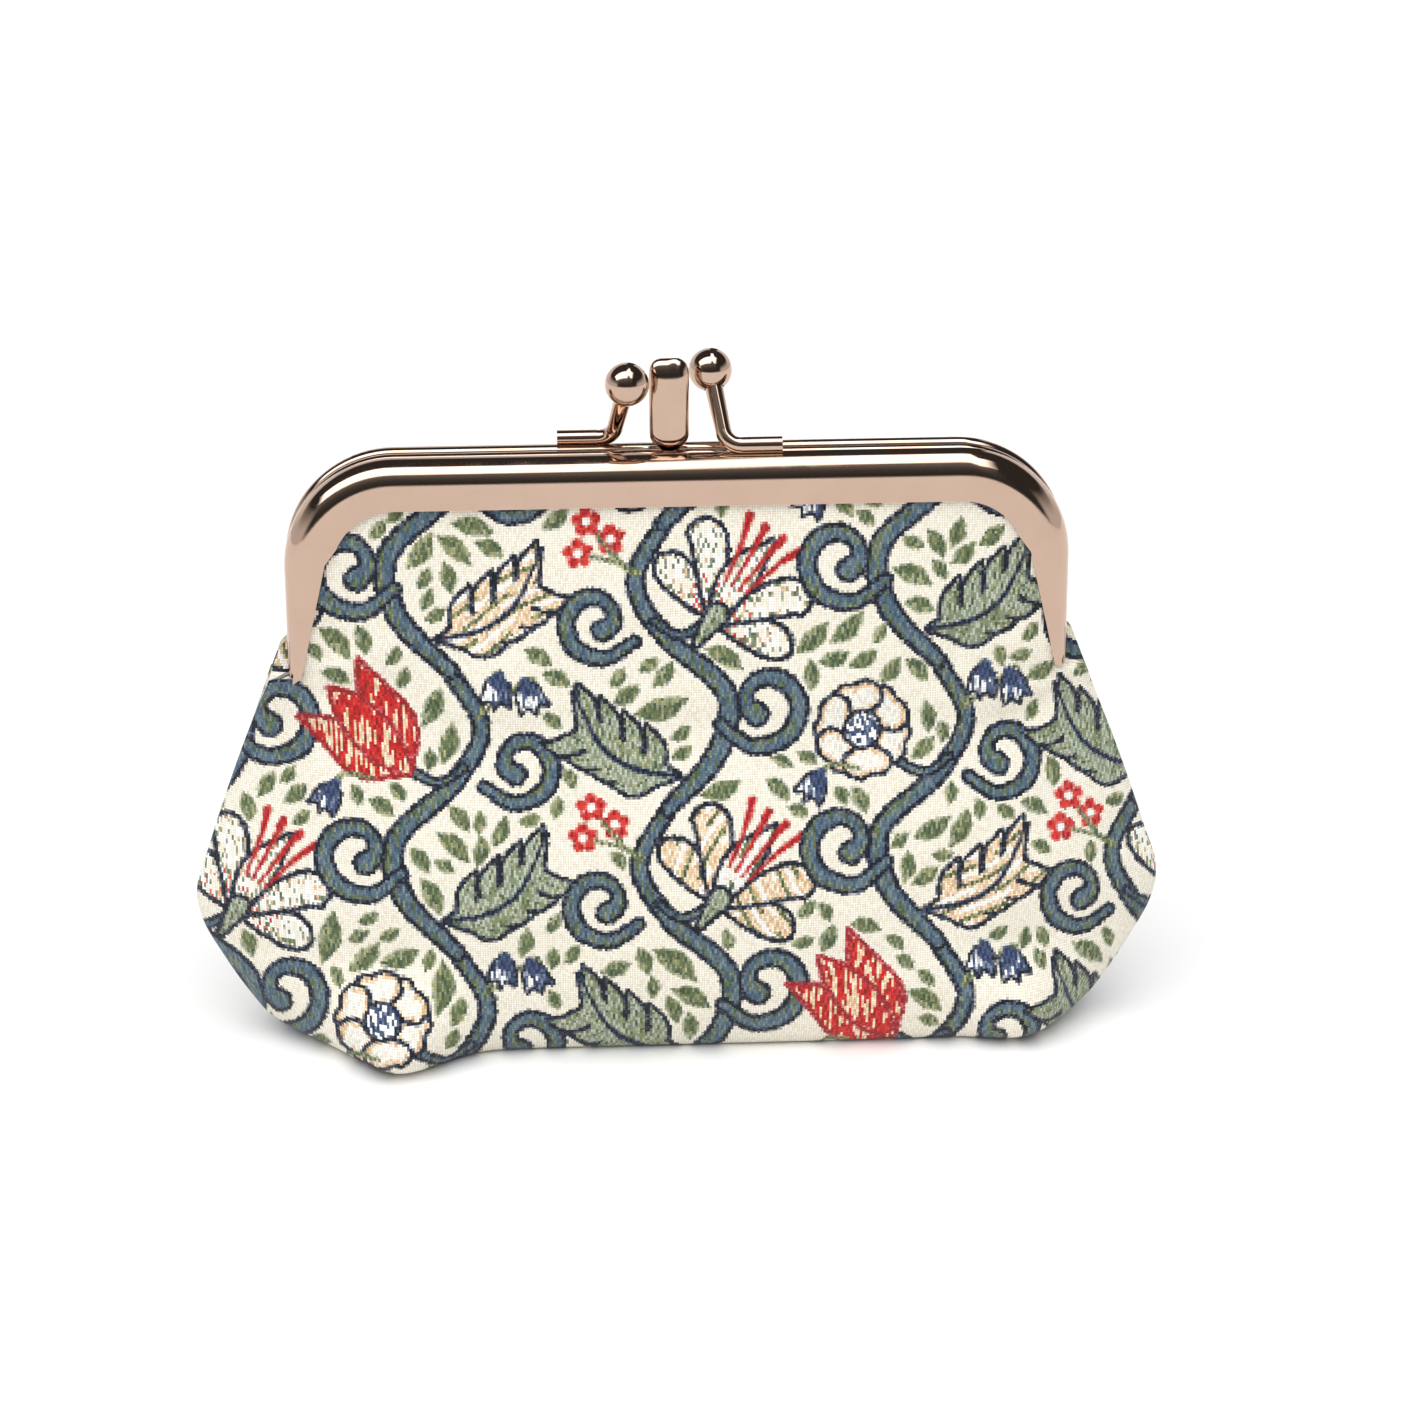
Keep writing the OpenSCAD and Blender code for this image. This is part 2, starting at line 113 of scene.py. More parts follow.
def sheet_grid():
    """Vertices of the front cloth, one row per thread: x, y (toward the back), z, and the place in the pattern."""
    levels = profile_levels()
    count = int(72 / THREAD)
    xs = np.zeros((len(levels), count + 1))
    reach = np.zeros(len(levels), int)
    u = np.linspace(0, 1, 400) ** 0.8
    for r, z in enumerate(levels):
        w = float(half_width(max(z, 0.0)))
        x = w * u
        y = cloth_depth(x, max(z, 0.0)) * (1 + min(z, 0) / FLOOR_DEPTH)
        arc = np.concatenate([[0], np.cumsum(np.hypot(np.diff(x), np.diff(y)))])
        reach[r] = int(np.ceil(arc[-1] / THREAD - 0.25))
        xs[r] = np.interp(np.arange(count + 1) * THREAD, arc, x)
        xs[r, reach[r]:] = w
    x = np.concatenate([-xs[:, :0:-1], xs], axis=1)
    z = np.repeat(levels[:, None], x.shape[1], 1)
    y = cloth_depth(x, np.maximum(z, 0)) * (1 + np.minimum(z, 0) / FLOOR_DEPTH)
    pattern_v = BASE_V + z * math.cos(TILT) - y * math.sin(TILT)
    under = z < 0
    edge_v = BASE_V - cloth_depth(x, np.zeros_like(z)) * math.sin(TILT)
    pattern_v = np.where(under, edge_v + z, pattern_v)
    return x, -y, np.maximum(z, 0), reach, pattern_v


# ---------------------------------------------------------------- woven pattern, drawn in millimetres on the cloth

INK, NAVY, RED, DARK_RED = (28, 31, 42), (42, 55, 87), (204, 46, 45), (156, 40, 41)
CREAM, WHITE = (248, 242, 226), (252, 251, 246)
# each palette runs from its darker threads to its lighter ones
BLUES = [(72, 94, 116), (92, 112, 126), (116, 134, 138), (132, 140, 120)]
OLIVES = [(78, 94, 74), (104, 116, 80), (136, 144, 104), (172, 170, 124)]
GREYS = [(134, 146, 122), (152, 160, 136), (176, 184, 164), (192, 198, 180)]
TANS = [(224, 186, 144), (237, 205, 166), (246, 222, 190), (251, 238, 216)]
NAVIES = [(50, 62, 94), (74, 89, 120), (118, 131, 156), (190, 196, 210)]
LIGHTS = [(246, 238, 220), (240, 234, 218), (252, 250, 242), (252, 252, 248)]


def spline(points, per=7, closed=False):
    """A Catmull-Rom curve through the points (any number of columns)."""
    p = np.array(points, float)
    if len(p) == 2 and not closed:
        return p[0] + (p[1] - p[0]) * np.linspace(0, 1, per)[:, None]
    p = np.vstack([p[-1:], p, p[:2]]) if closed else np.vstack([2 * p[:1] - p[1:2], p, 2 * p[-1:] - p[-2:-1]])
    t = (np.arange(per) / per)[:, None]
    out = [0.5 * (2 * b + (c - a) * t + (2 * a - 5 * b + 4 * c - d) * t**2 + (3 * b - a - 3 * c + d) * t**3)
           for a, b, c, d in zip(p[:-3], p[1:-2], p[2:-1], p[3:])]
    return np.vstack(out + ([] if closed else [p[-2:-1]]))


def ribbon(points, widths):
    """A stroke along a curve, with half widths spread evenly from its start to its end."""
    w = np.interp(np.linspace(0, 1, len(points)), np.linspace(0, 1, len(widths)), widths)
    return ("ribbon", spline(np.column_stack([np.array(points, float), w])))


def shape(*points, smooth=True):
    return ("shape", spline(points, closed=True) if smooth else np.array(points, float))


def circle(x, v, r):
    a = np.arange(0, 2 * math.pi, 0.4)
    return ("shape", np.column_stack([x + r * np.cos(a), v + r * np.sin(a)]))


def scatter(i, j):
    """A repeatable number from 0 to 1 for each pair of whole numbers."""
    value = np.sin(i * 12.9898 + j * 78.233) * 43758.5453
    return value - np.floor(value)


class Weave:
    """The thread cells of one piece of cloth, each with a place in the pattern and a colour."""

    def __init__(self, x, v):
        self.shape = x.shape
        self.x, self.v = x.ravel(), v.ravel()
        self.i, self.j = (a.ravel() for a in np.meshgrid(np.arange(x.shape[1]), np.arange(x.shape[0])))
        rng = np.random.default_rng(11)
        self.noise = rng.random(self.x.size)
        self.noise2 = rng.random(self.x.size)
        self.rgb = np.zeros((self.x.size, 3))
        self.used = np.zeros(self.x.size, bool)
        self.ragged = (scatter(self.i, self.j // 2) - 0.5) * 0.26
        self.put(slice(None), [CREAM, (243, 235, 215), CREAM, (250, 246, 234)], 6)
        dots = (self.i + self.j * 2) % 5 == 0
        self.rgb[dots & (self.noise < 0.4)] = (240, 229, 206)

    def put(self, cells, palette, spread=26):
        """Colours cells with threads of a palette, in short upright streaks."""
        i, j = self.i[cells], self.j[cells]
        if not i.size:
            return
        half = (len(palette) + 1) // 2
        light = (i + (j + i // 2 % 3) // 3) % 2 if len(palette) > 1 else 0
        key = light * (len(palette) - half) + (scatter(i, j // 4) * half).astype(int)
        colour = np.array(palette, float)[key]
        self.rgb[cells] = np.clip(colour + (self.noise2[cells, None] - 0.5) * spread, 0, 255)

    def distance(self, parts, margin=1.5):
        """Cells near the parts, their distance to the joined outline (negative inside), and their place in the part."""
        all_points = np.vstack([p[:, :2] for _, p in parts])
        fat = margin + max([p[:, 2].max() if k == "ribbon" else 0 for k, p in parts])
        lo, hi = all_points.min(0) - fat, all_points.max(0) + fat
        cells = np.nonzero((self.x > lo[0]) & (self.x < hi[0]) & (self.v > lo[1]) & (self.v < hi[1]))[0]
        q = np.column_stack([self.x[cells], self.v[cells]])
        best, along, across = np.full(len(q), 1e9), np.zeros(len(q)), np.zeros(len(q))
        for kind, p in parts:
            a = p[:-1] if kind == "ribbon" else p
            b = p[1:] if kind == "ribbon" else np.roll(p, -1, axis=0)
            ab = b[:, :2] - a[:, :2]
            length = np.maximum((ab**2).sum(1), 1e-9)
            rel = q[:, None] - a[None, :, :2]
            t = np.clip((rel * ab).sum(2) / length, 0, 1)
            off = rel - t[..., None] * ab
            gap = np.sqrt((off**2).sum(2))
            if kind == "ribbon":
                width = a[:, 2] + t * (b[:, 2] - a[:, 2])
                k = np.argmin(gap - width, axis=1)
                rows = np.arange(len(q))
                d = (gap - width)[rows, k]
                run = np.concatenate([[0], np.cumsum(np.sqrt(length))])
                here = run[k] + t[rows, k] * np.sqrt(length[k])
                side = (np.sign(ab[k, 0] * off[rows, k, 1] - ab[k, 1] * off[rows, k, 0]) * gap[rows, k]
                        / np.maximum(width[rows, k], 0.2))
            else:
                hit = (a[:, 1] > q[:, None, 1]) != (b[:, 1] > q[:, None, 1])
                rise = np.where(ab[:, 1] == 0, 1e-9, ab[:, 1])
                cross = a[:, 0] + (q[:, None, 1] - a[:, 1]) * ab[:, 0] / rise
                inside = (hit & (q[:, None, 0] < cross)).sum(1) % 2 == 1
                d = gap.min(1) * np.where(inside, -1, 1)
                here = q[:, 1] - p[:, 1].min()
                side = (q[:, 0] - p[:, 0].mean()) / max(np.ptp(p[:, 0]) / 2, 0.2)
            nearer = d < best
            best[nearer], along[nearer], across[nearer] = d[nearer], here[nearer], side[nearer]
        return cells, best, along, across

    def draw(self, parts, fill, line=INK, width=0.5):
        """Fills the joined parts and outlines them."""
        parts = [parts] if isinstance(parts, tuple) else parts
        cells, d, along, across = self.distance(parts)
        self.used[cells[d < 0.25]] = True
        d = d + self.ragged[cells]
        if fill is not None:
            before = self.rgb[cells]
            keep = d < THREAD / 2
            fill(self, cells[keep], along[keep], across[keep], d[keep])
            cover = np.clip(0.5 - d / THREAD, 0, 1)[:, None]
            self.rgb[cells] = before + (self.rgb[cells] - before) * cover
        if line is not None:
            width = width * 1.25
            cover = np.clip(0.5 + 1.5 * (width / 2 - np.abs(d + width * 0.2)) / THREAD, 0, 1)[:, None]
            colour = np.array(line) + (self.noise2[cells, None] ** 4) * np.array((64, 70, 82))
            self.rgb[cells] = np.clip(self.rgb[cells] + (colour - self.rgb[cells]) * cover, 0, 255)


def solid(palette, spread=14):
    return lambda w, cells, along, across, d: w.put(cells, palette, spread)


def hatched(w, cells, along, across, d):
    """Grey-green with light upright threads, with olive toward the edges and in slanting veins."""
    w.put(cells, GREYS, 12)
    slant = (along * 0.9 - np.abs(across) * 2.2) % 3.4
    vein = (slant < 0.5) & (np.abs(across) > 0.25)
    rim = (np.abs(across) > 0.74) & (w.noise[cells] < 0.75)
    strand = scatter(w.i[cells], (w.j[cells] + 3 * w.i[cells] % 5) // 8)
    w.put(cells[strand < np.clip(0.14 - 0.4 * across, 0.0, 0.45)], OLIVES[1:3] + GREYS[:1], 12)
    dark = rim | vein & (w.noise[cells] < 0.6) | (np.abs(across) < 0.07)
    w.put(cells[dark], OLIVES, 12)


def leaf_threads(w, cells, along, across, d):
    """Olive, paler toward one edge."""
    w.put(cells, OLIVES[:3], 18)
    share = np.clip(0.1 + 0.5 * across, 0.05, 0.6)
    pale = scatter(w.i[cells], (w.j[cells] + 2 * w.i[cells] % 3) // 4) < share
    w.put(cells[pale], [OLIVES[3], GREYS[1], OLIVES[2]])


def strands(first, second, share, run):
    """Upright strands of one palette over another."""
    def fill(w, cells, along, across, d):
        w.put(cells, second)
        on = scatter(w.i[cells], (w.j[cells] + 3 * w.i[cells] % 5) // run) < share
        w.put(cells[on], first)
    return fill


def petal(w, cells, along, across, d):
    """A pale petal with grey-green and tan specks, and pink ones near its foot."""
    w.put(cells, [WHITE, CREAM, WHITE, LIGHTS[0]], 10)
    speck = scatter(w.i[cells] + 3, w.j[cells] // 2)
    edge = np.clip(1 + d / 2.2, 0, 1)
    w.put(cells[speck < 0.13 + 0.34 * edge], [GREYS[0], GREYS[1], OLIVES[1], TANS[0]])
    low = np.clip(1 - along / 6, 0, 1)
    chosen = scatter(w.i[cells], w.j[cells] // 2 + 5) < 0.55 * low
    w.put(cells[chosen & ((w.i[cells] + w.j[cells] // 2) % 2 == 0)], [RED, (222, 112, 100), (206, 74, 68)])


def cream_petal(w, cells, along, across, d):
    """Cream inside a tan edge."""
    w.put(cells, LIGHTS)
    w.put(cells[(d > -1.0) & (scatter(w.i[cells], w.j[cells] // 3) < 0.8)], TANS[:3])


def bell_petal(w, cells, along, across, d):
    """Navy with white strands on its left side."""
    w.put(cells, NAVIES[:3])
    share = np.clip(0.42 - 0.55 * across, 0.06, 0.85)
    strand = scatter(w.i[cells], (w.j[cells] + 3 * w.i[cells] % 5) // 5)
    w.put(cells[strand < share], LIGHTS[2:] + NAVIES[3:])


def blue_arm(w, cells, along, across, d):
    """Blue-grey with olive strands on one side."""
    w.put(cells, BLUES[:3], 20)
    share = np.clip(0.22 + 0.75 * across, 0.06, 0.72)
    strand = scatter(w.i[cells], (w.j[cells] + 3 * w.i[cells] % 5) // 7)
    w.put(cells[strand < share], [OLIVES[0], OLIVES[1], BLUES[3]])


def swept(base, angle, pitch):
    """A petal with long white and olive streaks that run at an angle, in degrees."""
    c, s = math.cos(math.radians(angle)), math.sin(math.radians(angle))

    def fill(w, cells, along, across, d):
        w.put(cells, base)
        run, side = w.x[cells] * c + w.v[cells] * s, w.v[cells] * c - w.x[cells] * s
        t = (side + 0.45 * np.sin(run * 0.42)) / pitch
        streak = np.floor(t)
        t -= streak
        gaps = np.sin(run * 0.55 + streak * 2.4)
        w.put(cells[(t > 0.08) & (t < 0.36) & (gaps > -0.6)], LIGHTS[2:])
        w.put(cells[(t > 0.5) & (t < 0.76) & (gaps < 0.62)], OLIVES)
    return fill


def willow(w, leaves):
    """Plain olive leaves with no outline: base, tip, half width and how far the middle bows to the left."""
    for x0, v0, x1, v1, fat, bow in leaves:
        middle = (x0 + x1) / 2 - (v1 - v0) * bow, (v0 + v1) / 2 + (x1 - x0) * bow
        leaf = ribbon([(x0, v0), middle, (x1, v1)], [0.25, fat * 0.85, fat, fat * 0.7, 0.2])
        w.draw(leaf, leaf_threads, line=None)


def sprig(w, points):
    """A thin olive stalk."""
    w.draw(ribbon(points, [0.3, 0.3]), solid(OLIVES), line=None)


def berries(w, x, v, r, turn):
    """Five red berries around a white eye."""
    for k in range(5):
        a = turn + k * math.pi * 0.4
        berry = circle(x + r * 0.66 * math.cos(a), v + r * 0.66 * math.sin(a), r * 0.42)
        w.draw(berry, solid([RED, (214, 66, 60), DARK_RED]), line=None)
    w.draw(circle(x, v, r * 0.3), solid([WHITE]), line=None)


def bell(w, x, v, angle, size=1.0):
    """A small navy and white bell flower that opens toward angle."""
    c, s = math.cos(math.radians(angle)), math.sin(math.radians(angle))

    def at(a, b):
        return x + size * (a * c - b * s), v + size * (a * s + b * c)

    body = shape(at(-2.3, 0), at(-1.6, 1.6), at(0.4, 2.2), at(2.2, 2.3), at(1.7, 0.8), at(2.9, 0), at(1.7, -0.9),
                 at(2.2, -2.3), at(0.4, -2.2), at(-1.6, -1.6))
    w.draw(body, bell_petal, INK, 0.4)
    w.draw(ribbon([at(-2.3, 0), at(-1.3, 0.1)], [0.8, 1.1]), solid(NAVIES[:2]), line=None)


def tulip(w, at):
    """A red tulip of three petals, streaked with tan."""
    streaked = strands([RED, (214, 62, 56), DARK_RED, RED], TANS, 0.62, 6)
    for side in (-1, 1):
        outer = [at(-5.4, side * 0.8), at(-1.4, side * 3.2), at(3.4, side * 3.5), at(8.6, side * 5.4)]
        w.draw(ribbon(outer, [1.0, 2.5, 2.3, 0.2]), streaked, DARK_RED, 0.55)
    inner = [at(-6, 0), at(-1, 0), at(4, 0), at(8.4, 0)]
    w.draw(ribbon(inner, [1.0, 2.8, 2.3, 0.3]), streaked, DARK_RED, 0.55)


def rosette(w, x, v, r, petals, turn):
    """An open flower of broad cream petals with tan edges about a speckled eye."""
    outline = ((0.3, 0), (0.5, -0.46), (0.86, -0.5), (1.06, -0.2), (1.0, 0.1), (1.02, 0.34), (0.8, 0.56), (0.5, 0.42))
    for k in range(petals):
        t = turn + 2 * math.pi * k / petals
        c, s = math.cos(t), math.sin(t)
        w.draw(shape(*[(x + r * (a * c - b * s), v + r * (a * s + b * c)) for a, b in outline]), cream_petal, INK, 0.5)
    w.draw(circle(x, v, r * 0.42), strands(NAVIES[:3], LIGHTS[2:], 0.48, 2), INK, 0.45)


COLUMN, DROP = 33.0, 38.4      # width and height of the repeat; every second column starts half a drop lower
ROW_START = 14                 # height of the first repeat's middle in the pattern


def placed(x, v, mirror, angle=0.0, size=1.0):
    """Turns a motif's own millimetres into places on the cloth."""
    c, s = size * math.cos(math.radians(angle)), size * math.sin(math.radians(angle))
    return lambda a, b: (x + mirror * (a * c - b * s), v + a * s + b * c)


def curl(w, at, x, v, r, start, sweep, width):
    """A blue arm that winds in toward x, v."""
    turn = np.linspace(0, 1, 9)
    angle, reach = np.radians(start + sweep * turn), r * (1 - 0.74 * turn)
    points = [at(x + q * math.cos(a), v + q * math.sin(a)) for a, q in zip(angle, reach)]
    w.draw(ribbon(points, [width * 0.7, width, width, width * 0.8, width * 1.25]), blue_arm, INK, 0.5)


def big_leaf(w, at, fill, length=18.0, lobes=4):
    """A broad leaf with rounded lobes on both sides of a bent rib."""
    rib = [(0, 0), (length * 0.3, 2.2), (length * 0.62, 1.8), (length, -2.4)]
    parts = [ribbon([at(a, b) for a, b in rib], [0.5, 2.6, 3.1, 2.3, 0.3])]
    for k in range(lobes):
        a = length * (0.16 + 0.2 * k)
        for side in (-1, 1):
            lobe = [at(a, 1.6), at(a + 1.6, 1.4 + side * 2.9), at(a + 4.4, 1 + side * 4.6)]
            parts.append(ribbon(lobe, [1.5, 1.5, 0.3]))
    w.draw(parts, fill, INK, 0.5)
    w.draw(ribbon([at(a, b) for a, b in rib], [0.3, 0.4, 0.15]), solid([INK, NAVY]), line=None)


def bloom(w, at, tan):
    """An open flower on a short cup: side petals that turn out, a middle petal and red stamens."""
    for side in (-1, 1):
        for lean, far in ((78, 8.6), (44, 10.4)):
            c, s = math.cos(math.radians(lean)) * far, math.sin(math.radians(lean)) * far
            line = [at(0, side * 0.6), at(c * 0.5, side * s * 0.42), at(c * 0.92, side * s * 0.8),
                    at(c * 0.8, side * s * 1.05)]
            w.draw(ribbon(line, [0.8, 2.1, 2.5, 0.5]), swept(TANS, 60 * side, 2.2) if tan else petal, INK, 0.55)
    middle = ribbon([at(-0.6, 0), at(5, 0.4), at(10.6, -0.4)], [0.9, 2.7, 2.4, 0.4])
    w.draw(middle, swept(LIGHTS, 70, 2.4) if tan else petal, INK, 0.55)
    for b in (-2.6, -0.9, 0.9, 2.6):
        stamen = ribbon([at(4, b * 0.5), at(8.6, b * 0.9), at(11.4, b * 1.3)], [0.2, 0.36, 0.6])
        w.draw(stamen, solid([RED, DARK_RED]), line=None)
    w.draw(ribbon([at(-3.4, 0), at(0.4, 0)], [0.7, 1.7]), hatched, INK, 0.5)


def repeat_unit(w, x, v, mirror, kind):
    """One repeat of the cloth: a stem, two curled arms, a leaf, a flower, and berries or bells."""
    at = placed(x, v, mirror)
    stem = [at(-2, -DROP / 2), at(5, -11.5), at(6, -3.5), at(-2, 4), at(-6, 11.5), at(-2, DROP / 2)]
    w.draw(ribbon(stem, [1.1, 1.5, 1.3, 1.2, 1.1]), blue_arm, INK, 0.5)
    curl(w, at, 11.2, -5.2, 6.6, 205, 390, 1.3)
    curl(w, at, -11.2, 6.4, 5.8, -30, -390, 1.2)
    big_leaf(w, placed(*at(-0.5, -14.8), mirror, 148), swept(TANS, 30, 2.2) if kind == 3 else hatched)
    heart = at(4.6, 6.4)
    w.draw(ribbon([at(-3.6, 6.2), at(0, 4.2), heart], [0.6, 0.7]), blue_arm, INK, 0.45)
    if kind == 1:
        tulip(w, placed(*at(8.6, 10.8), mirror, 48, 1.05))
    elif kind == 3:
        rosette(w, *at(8.4, 10.2), 6.3, 6, 0.4 * mirror)
    else:
        bloom(w, placed(*heart, mirror, 54, 1.22), kind == 0)
    if kind % 2:
        for a, b, lean in ((-12.6, 15.6, 250), (-8.2, 16.4, 280), (15.2, 2.6, 300)):
            sprig(w, [at(-5.6, 13), at(a, b + 2.6), at(a, b)] if a < 0 else [at(9, 5), at(13, 5.6), at(a, b)])
            bell(w, *at(a, b), lean if mirror > 0 else 180 - lean, 0.9)
    else:
        for a, b in ((-13.6, 15.4), (-9.2, 17.2), (-12.4, 19.6)):
            sprig(w, [at(-5.6, 12.6), at(-8, 14), at(a, b)])
            berries(w, *at(a, b), 1.9, 0.4)


def under_base(w):
    """Leaves that carry the pattern on under the base, out of sight from the front."""
    for k in range(13):
        x = -52 + 8.4 * k
        willow(w, [(x, -1.6, x + 4.6, -6.4, 1.4, 0.1), (x + 4, -3, x + 0.4, -7.6, 1.1, -0.1)])


def filler(w):
    """Small olive leaves wherever the ground is still empty."""
    rng = np.random.default_rng(4)
    for v in np.arange(1.5, 74, 1.9):
        for x in np.arange(-65 + rng.random() * 2, 66, 2.1):
            px, pv = x + rng.uniform(-0.8, 0.8), v + rng.uniform(-0.8, 0.8)
            lean = math.radians(90 + 62 * math.sin(px * 0.23 + pv * 0.11) + rng.uniform(-25, 25))
            for length, fat in ((7.4, 1.6), (5.6, 1.3), (4.0, 1.1), (2.8, 0.9)):
                dx, dv = math.cos(lean) * length / 2, math.sin(lean) * length / 2
                line = [(px - dx, pv - dv), (px + 0.12 * dv, pv - 0.12 * dx), (px + dx, pv + dv)]
                leaf = ribbon(line, [0.2, fat * 0.9, fat, fat * 0.6, 0.15])
                cells, d, _, _ = w.distance([leaf])
                if not w.used[cells[d < 0.22]].any():
                    w.draw(leaf, leaf_threads, line=None)
                    break


def draw_pattern(w):
    """A half-drop repeat, mirrored from column to column, with small leaves in every gap."""
    under_base(w)
    for column in range(-2, 3):
        for row in range(3):
            v = DROP * (row - 0.5 * (column % 2)) + ROW_START
            repeat_unit(w, COLUMN * column, v, (-1) ** column, (column + 2 * row) % 4)
    filler(w)


# ---------------------------------------------------------------- meshes and materials

def linear(rgb):
    c = np.asarray(rgb, float) / 255
    return np.where(c <= 0.04045, c / 12.92, ((c + 0.055) / 1.055) ** 2.4)


class Nodes:
    """A short way to write a material's nodes."""

    def __init__(self, name):
        self.material = bpy.data.materials.new(name)
        self.material.use_nodes = True
        self.tree = self.material.node_tree
        self.shader = self.tree.nodes["Principled BSDF"]

    def add(self, kind, settings=None, **inputs):
        node = self.tree.nodes.new("ShaderNode" + kind)
        for key, value in (settings or {}).items():
            setattr(node, key, value)
        for key, value in inputs.items():
            self.put(node.inputs[key.replace("_", " ")], value)
        return node

    def put(self, socket, value):
        if isinstance(value, bpy.types.Node):
            value = value.outputs[0]
        if isinstance(value, bpy.types.NodeSocket):
            self.tree.links.new(value, socket)
        else:
            socket.default_value = value

    def math(self, operation, *values):
        node = self.add("Math", {"operation": operation})
        for socket, value in zip(node.inputs, values):
            self.put(socket, value)
        return node.outputs[0]

    def mix(self, factor, a, b):
        node = self.add("Mix", {"data_type": "RGBA"})
        for name, value in (("Factor_Float", factor), ("A_Color", a), ("B_Color", b)):
            self.put(next(s for s in node.inputs if s.identifier == name), value)
        return next(s for s in node.outputs if s.identifier == "Result_Color")

    def noise(self, scale, detail=2.0, where=None):
        node = self.add("TexNoise", None, Scale=scale, Detail=detail)
        self.put(node.inputs["Vector"], where or self.add("TexCoord").outputs["Object"])
        return node.outputs["Fac"]

    def ramp(self, value, low, high, out_low, out_high):
        node = self.add("MapRange")
        for socket, v in zip(node.inputs, (value, low, high, out_low, out_high)):
            self.put(socket, v)
        return node.outputs[0]

    def bump(self, height, strength, distance, under=None):
        node = self.add("Bump", None, Strength=strength, Distance=distance, Height=height)
        if under is not None:
            self.put(node.inputs["Normal"], under)
        return node.outputs[0]

    def set(self, **inputs):
        for key, value in inputs.items():
            self.put(self.shader.inputs[key.replace("_", " ")], value)
        return self.material


def rose_gold(name, roughness=0.08):
    n = Nodes(name)
    fine = n.noise(9000.0, 3.0)
    stretched = n.add("Mapping", None, Vector=n.add("TexCoord").outputs["Object"], Scale=(400.0, 9000.0, 9000.0))
    hairlines = n.noise(1.0, 2.0, stretched.outputs[0])
    wear = n.noise(260.0, 4.0)
    tint = n.mix(n.ramp(wear, 0.3, 0.75, 0.0, 1.0), (0.595, 0.428, 0.334, 1), (0.565, 0.402, 0.31, 1))
    rough = n.math("ADD", n.ramp(hairlines, 0.3, 0.8, roughness * 0.7, roughness * 1.25),
                   n.ramp(wear, 0.45, 0.8, 0.0, 0.05))
    return n.set(Base_Color=tint, Metallic=1.0, Roughness=rough, Normal=n.bump(fine, 0.05, 0.00002))


def woven_cloth(name):
    """The tapestry: one colour per thread cell, raised thread tops with painted shade in the gaps between them, fibre
    fuzz and a soft sheen.
    """
    n = Nodes(name)
    colour = n.add("VertexColor", {"layer_name": "Weave"}).outputs["Color"]
    uv = n.add("UVMap", {"uv_map": "Thread"}).outputs[0]
    parts = n.add("SeparateXYZ", None, Vector=uv)
    across = n.math("ABSOLUTE", n.math("SINE", n.math("MULTIPLY", parts.outputs[0], math.pi)))
    along = n.math("ABSOLUTE", n.math("SINE", n.math("MULTIPLY", parts.outputs[1], math.pi)))
    cell = n.math("ADD", n.math("FLOOR", parts.outputs[0]), n.math("FLOOR", parts.outputs[1]))
    cell = n.math("FLOORED_MODULO", cell, 2.0)
    over = n.math("MULTIPLY", along, n.math("MULTIPLY_ADD", across, 0.35, 0.65))
    up = n.math("MULTIPLY", across, n.math("MULTIPLY_ADD", along, 0.35, 0.65))
    height = n.math("ADD", n.math("MULTIPLY", over, cell),
                    n.math("MULTIPLY", up, n.math("SUBTRACT", 1.0, cell)))
    fibre = n.noise(7000.0, 3.0)
    # painted shade: the thread colour is darkened in the low gaps between raised threads and lifted slightly on their
    # tops, times a random fibre tone
    painted_gap_shade_and_fibre_tone = n.math("MULTIPLY", n.ramp(height, 0.0, 0.8, 0.70, 1.03), n.ramp(fibre, 0.25, 0.75, 0.94, 1.05))
    gain = n.add("VectorMath", {"operation": "SCALE"})
    n.put(gain.inputs[0], colour)
    n.put(gain.inputs["Scale"], painted_gap_shade_and_fibre_tone)
    normal = n.bump(height, 0.7, 0.00009, n.bump(fibre, 0.18, 0.00005))
    return n.set(Base_Color=gain.outputs[0], Roughness=n.ramp(fibre, 0.2, 0.8, 0.78, 0.95), Normal=normal,
                 Specular_IOR_Level=0.22, Sheen_Weight=0.12, Sheen_Roughness=0.5)


def lining_cloth(name):
    n = Nodes(name)
    at = n.add("TexCoord").outputs["Object"]
    warp = n.add("TexWave", {"bands_direction": "X"}, Scale=900.0, Distortion=0.6, Vector=at).outputs["Fac"]
    weft = n.add("TexWave", {"bands_direction": "Z"}, Scale=900.0, Distortion=0.6, Vector=at).outputs["Fac"]
    weave = n.math("ADD", warp, weft)
    slub = n.noise(420.0, 3.0)
    colour = n.mix(n.ramp(weave, 0.2, 1.8, 0.0, 1.0), (0.50, 0.43, 0.32, 1), (0.66, 0.58, 0.45, 1))
    colour = n.mix(n.ramp(slub, 0.45, 0.7, 0.0, 0.16), colour, (0.72, 0.65, 0.53, 1))
    return n.set(Base_Color=colour, Roughness=n.ramp(slub, 0.2, 0.8, 0.75, 0.92), Normal=n.bump(weave, 0.3, 0.00005),
                 Specular_IOR_Level=0.2, Sheen_Weight=0.15)


def paper_cord(name):
    n = Nodes(name)
    at = n.add("Mapping", None, Vector=n.add("TexCoord").outputs["Object"], Rotation=(0.5, 0.6, 0.7))
    wave = n.add("TexWave", {"bands_direction": "DIAGONAL"}, Scale=700.0, Distortion=1.5, Vector=at.outputs[0])
    twist = wave.outputs["Fac"]
    fibre = n.noise(3000.0, 3.0)
    colour = n.mix(twist, (0.42, 0.32, 0.20, 1), (0.62, 0.51, 0.35, 1))
    return n.set(Base_Color=colour, Roughness=n.ramp(fibre, 0.2, 0.8, 0.8, 0.97),
                 Normal=n.bump(n.math("ADD", twist, fibre), 0.5, 0.0001))


